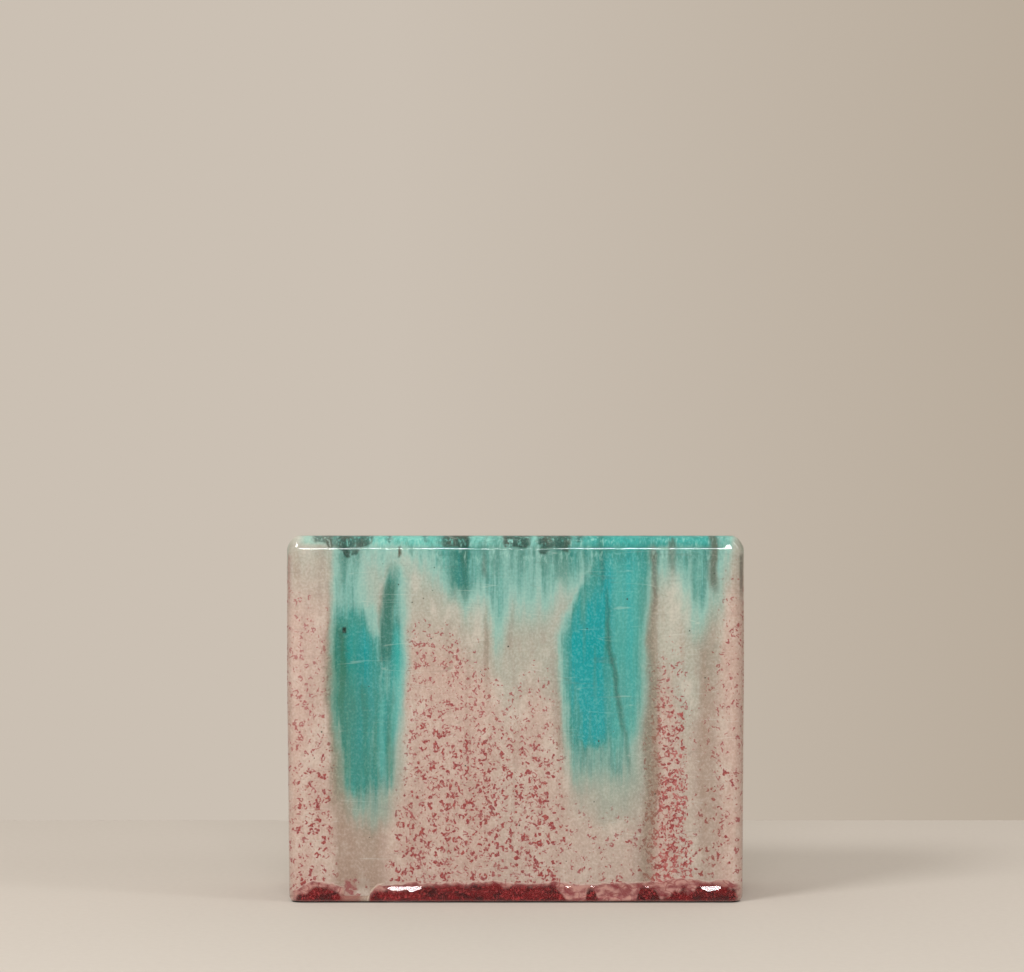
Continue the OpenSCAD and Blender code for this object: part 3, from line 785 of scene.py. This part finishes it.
# The section, as (inset, height): the skin up the outside, the mouth, and the lining down inside.
foot_in = CASING_T + FOOT_T
side_top = BODY_H - LIP_R
core_in = WALL_T - CASING_T - SINK
FOOT_STEP, WALL_START, WALL_STEP = 0.7 * MM, 14.5 * MM, 2.5 * MM
rows = [FOOT_R + FOOT_STEP * k for k in range(1, 15)] + [WALL_START + WALL_STEP * k for k in range(55)]
rows += [z * MM for z in (151.2, 152.4, 153.2, 153.6, 153.9)]
bend = [(0.0, 154.0), (0.015, 154.12), (0.047, 154.26), (0.084, 154.42), (0.121, 154.58), (0.18, 154.78),
        (0.3, 155.1), (0.5, 155.6), (0.76, 156.15), (1.08, 156.75), (1.46, 157.35), (1.95, 158.0),
        (2.55, 158.65), (3.25, 159.2), (4.1, 159.72), (5.0, 160.0)]
skin = [(foot_in, 0.0)] + arc((FOOT_R, FOOT_R), FOOT_R, -90, 0, 10) + [(0.0, z) for z in rows]
skin = [(inset, max(z, PROUD)) for inset, z in skin]
skin += [(inset * MM, z * MM) for inset, z in bend]
mouth = [(2 * crest - inset, z) for inset, z in arc((crest, BODY_H - MOUTH_R), MOUTH_R, 90, 0, 8)]
mouth += [(WALL_T, LIP_Z), (WALL_T - SINK, LIP_Z - SINK), (core_in, LIP_Z - SINK)]
mouth += [(core_in, BODY_H - MOUTH_R), (crest + 0.6 * MM, BODY_H - CASING_T - SINK)]
lining = arc((LIP_R, side_top), LIP_R - CASING_T - SINK, 90, 0, 4)
lining += [(CASING_T + SINK, side_top + (FOOT_R - side_top) * k / 8) for k in range(1, 8)]
lining += arc((FOOT_R, FOOT_R), FOOT_R - CASING_T - SINK, 0, -90, 3)
lining += [(foot_in + SINK, CASING_T + SINK), (foot_in + SINK, SINK)]

loops = []
for section, well_side, polished_skin in (
        (skin, False, True), (mouth, True, False), (lining, False, False)):
    for inset, height in section:
        radius = WELL_R + WALL_T - inset if well_side else max(EDGE_R - inset, LEAST_R)
        loop = []
        for point, way in outline(inset, radius):
            place = Vector((point.x, point.y, height))
            out = Vector((way.x, way.y, 0))
            if polished_skin and height > 0.2 * MM:
                place += out * swell(place, out) * MM * (1 - min(1, inset / LIP_R))
            loop.append(place)
        loops.append(loop)
casing = ring_mesh("casing_skin", loops)

clear = Batch(bpy.data.materials.new("clear_glass"))
glass = clear.node("ShaderNodeBsdfPrincipled", {}, {
    "Base Color": (1, 1, 1, 1), "Roughness": 0.02, "IOR": 1.5, "Transmission Weight": 1.0})
through = clear.node("ShaderNodeBsdfTransparent")
lamp_ray = clear.node("ShaderNodeLightPath", output=1)
both = clear.node("ShaderNodeMixShader", {}, {0: lamp_ray, 1: glass, 2: through})
clear.node("ShaderNodeOutputMaterial", {}, {"Surface": both})
casing.data.materials.append(clear.made)
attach(casing, "root")
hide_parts("clear_casing")

# ---------------------------------------------------------------------------------------------
# Specks. Crumbs of scale and dark frit that were caught under the last gather: flattened beads of
# blackish glass, scattered over the walls between the colour and the casing.

specks = bpy.data.objects.new("specks", bpy.data.meshes.new("specks"))
bpy.context.scene.collection.objects.link(specks)
SPECKS_X, SPECKS_LOW, SPECKS_HIGH = 92, 16, 150
flat = [(-SPECKS_X, SPECKS_LOW), (SPECKS_X, SPECKS_LOW),
        (SPECKS_X, SPECKS_HIGH), (-SPECKS_X, SPECKS_HIGH)]
colour_y = BODY_D / 2 - CASING_T
sheets = [(x * MM, y, z * MM) for y in (-colour_y, colour_y) for x, z in flat]
specks.data.from_pydata(sheets, [], [(0, 1, 2, 3), (7, 6, 5, 4)])
frit = Batch(bpy.data.materials.new("speck_glass"))
frit_colour = frit.tint(paint(20, 34, 30), paint(66, 48, 40), frit.cloud((12, 12, 12)).rise(0.4, 0.6))
frit_glass = frit.finish(Base_Color=frit_colour, Roughness=0.5, Specular_IOR_Level=0.0)
scatter = Batch(bpy.data.node_groups.new("speck_scatter", "GeometryNodeTree"))
sockets = scatter.made.interface
wanted = {"Specks Per Square Metre": 1300.0, "Least Radius": 0.00016,
          "Greatest Radius": 0.0004, "Flatness": 0.4}
sockets.new_socket("Geometry", in_out="INPUT", socket_type="NodeSocketGeometry")
keys = {}
for name in wanted:
    keys[name] = sockets.new_socket(name, in_out="INPUT", socket_type="NodeSocketFloat").identifier
sockets.new_socket("Geometry", in_out="OUTPUT", socket_type="NodeSocketGeometry")
walls, density, least, greatest, flatness = (scatter.node("NodeGroupInput", output=i) for i in range(5))
dots = scatter.node("GeometryNodeDistributePointsOnFaces", {}, {
    "Mesh": walls, "Density": density, "Seed": 11})
bead = scatter.node("GeometryNodeMeshIcoSphere", {}, {"Radius": 1.0, "Subdivisions": 2})
girth = scatter.node("FunctionNodeRandomValue", {}, {2: least, 3: greatest, "Seed": 3}, output=1)
size = scatter.node("ShaderNodeCombineXYZ", {}, {0: girth, 1: girth * flatness, 2: girth})
beads = scatter.node("GeometryNodeInstanceOnPoints", {}, {
    "Points": dots, "Instance": bead, "Scale": size})
solid = scatter.node("GeometryNodeRealizeInstances", {}, {0: beads})
painted = scatter.node("GeometryNodeSetMaterial", {}, {"Geometry": solid, "Material": frit_glass})
scatter.node("NodeGroupOutput", {}, {0: painted})
maker = specks.modifiers.new("scatter", "NODES")
maker.node_group = scatter.made
for name, value in wanted.items():
    maker[keys[name]] = value
made_specks = bpy.data.meshes.new_from_object(specks.evaluated_get(bpy.context.evaluated_depsgraph_get()))
specks.modifiers.remove(maker)
specks.data = made_specks
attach(specks, "root")

# ---------------------------------------------------------------------------------------------
# Stage. A pale floor like a table, a plain wall behind it and soft fill from the room, three lamps,
# and the camera. Nothing here is part of the vase.

scene = bpy.context.scene
scene.view_settings.view_transform = "Standard"

FLOOR_HALF_W, FLOOR_FRONT, FLOOR_BACK, FLOOR_Z = 3, -2.5, 0.2686, -0.02 * MM
OPEN_X, OPEN_Y = 96, 31
floor_mesh = bpy.data.meshes.new("floor")
floor_mesh.from_pydata([
    (-FLOOR_HALF_W, FLOOR_FRONT, FLOOR_Z), (FLOOR_HALF_W, FLOOR_FRONT, FLOOR_Z),
    (FLOOR_HALF_W, FLOOR_BACK, FLOOR_Z), (-FLOOR_HALF_W, FLOOR_BACK, FLOOR_Z)], [], [(0, 1, 2, 3)])
floor = bpy.data.objects.new("floor", floor_mesh)
scene.collection.objects.link(floor)
cloth = Batch(bpy.data.materials.new("floor"))
cloth_colour = cloth.tint(paint(202, 193, 182), paint(208, 200, 189), cloth.cloud((3, 3, 3), detail=3))
cloth_body = cloth.node("ShaderNodeBsdfDiffuse", {}, {"Color": cloth_colour})
see_through = cloth.node("ShaderNodeBsdfTransparent")
# The floor is see-through from below and open under the vase, so that the underside can be seen.
from_below = cloth.node("ShaderNodeNewGeometry", output=6) * cloth.node("ShaderNodeLightPath", output=0)
open_under = (OPEN_X - abs(cloth.axis("x"))).rise(0, 0.01) * (OPEN_Y - abs(cloth.axis("y"))).rise(0, 0.01)
cloth.node("ShaderNodeOutputMaterial", {}, {"Surface": cloth.node(
    "ShaderNodeMixShader", {}, {0: from_below.most(open_under), 1: cloth_body, 2: see_through})})
floor_mesh.materials.append(cloth.made)

studio = Batch(bpy.data.worlds.new("studio"))
scene.world = studio.made
look = studio.node("ShaderNodeTexCoord")
toward_x, toward_y, toward_z = (
    studio.node("ShaderNodeSeparateXYZ", {}, {0: look}, output=i) for i in range(3))
plaster = studio.tint(paint(203, 192, 179), paint(184, 171, 155), toward_x.line(-0.05, 0.22, 0.0, 1.0))
camera_ray, glossy_ray, clear_ray = (studio.node("ShaderNodeLightPath", output=i) for i in (0, 3, 6))
wall_behind = studio.node("ShaderNodeBackground", {}, {"Color": plaster, "Strength": 1.0})
low_back = toward_y.rise(0.15, 0.8) * toward_z.drop(0.3, 0.8)
fill_colour = studio.tint((0.52, 0.489, 0.458, 1), (1.25, 1.14, 1.01, 1), low_back)
soft_fill = studio.node("ShaderNodeBackground", {}, {"Color": fill_colour, "Strength": 1.0})
studio.node("ShaderNodeOutputWorld", {}, {"Surface": studio.node("ShaderNodeMixShader", {}, {
    0: camera_ray.most(glossy_ray).most(clear_ray), 1: soft_fill, 2: wall_behind})})

LAMP_AIM = Vector((0, 0, 0.08))
COOL_WHITE, SKY_WHITE = (0.97, 0.98, 1.0), (0.95, 0.97, 1.0)


def lamp(name, place, width, height, power, colour):
    """A soft box that faces the middle of the vase."""
    data = bpy.data.lights.new(name, "AREA")
    data.shape = "RECTANGLE"
    data.size = width
    data.size_y = height
    data.energy = power
    data.color = colour
    made = bpy.data.objects.new(name, data)
    made.location = place
    made.rotation_euler = (LAMP_AIM - Vector(place)).to_track_quat("-Z", "Y").to_euler()
    scene.collection.objects.link(made)


lamp("key", (-0.75, -0.75, 1.15), 0.4, 0.4, 9.0, COOL_WHITE)
lamp("front_top", (0.0, -1.6, 0.9), 0.8, 0.16, 9.25, COOL_WHITE)
lamp("right_side", (1.1, -0.5, 0.82), 0.25, 0.9, 3.2, SKY_WHITE)

camera_data = bpy.data.cameras.new("camera")
camera_data.lens = 84.8
camera_data.sensor_width = 36
camera_data.shift_y = 0.0462
camera = bpy.data.objects.new("camera", camera_data)
camera.location = (-0.0015, -1.085, 0.161)
camera.rotation_euler = (math.radians(90), 0, 0)
scene.collection.objects.link(camera)
scene.camera = camera
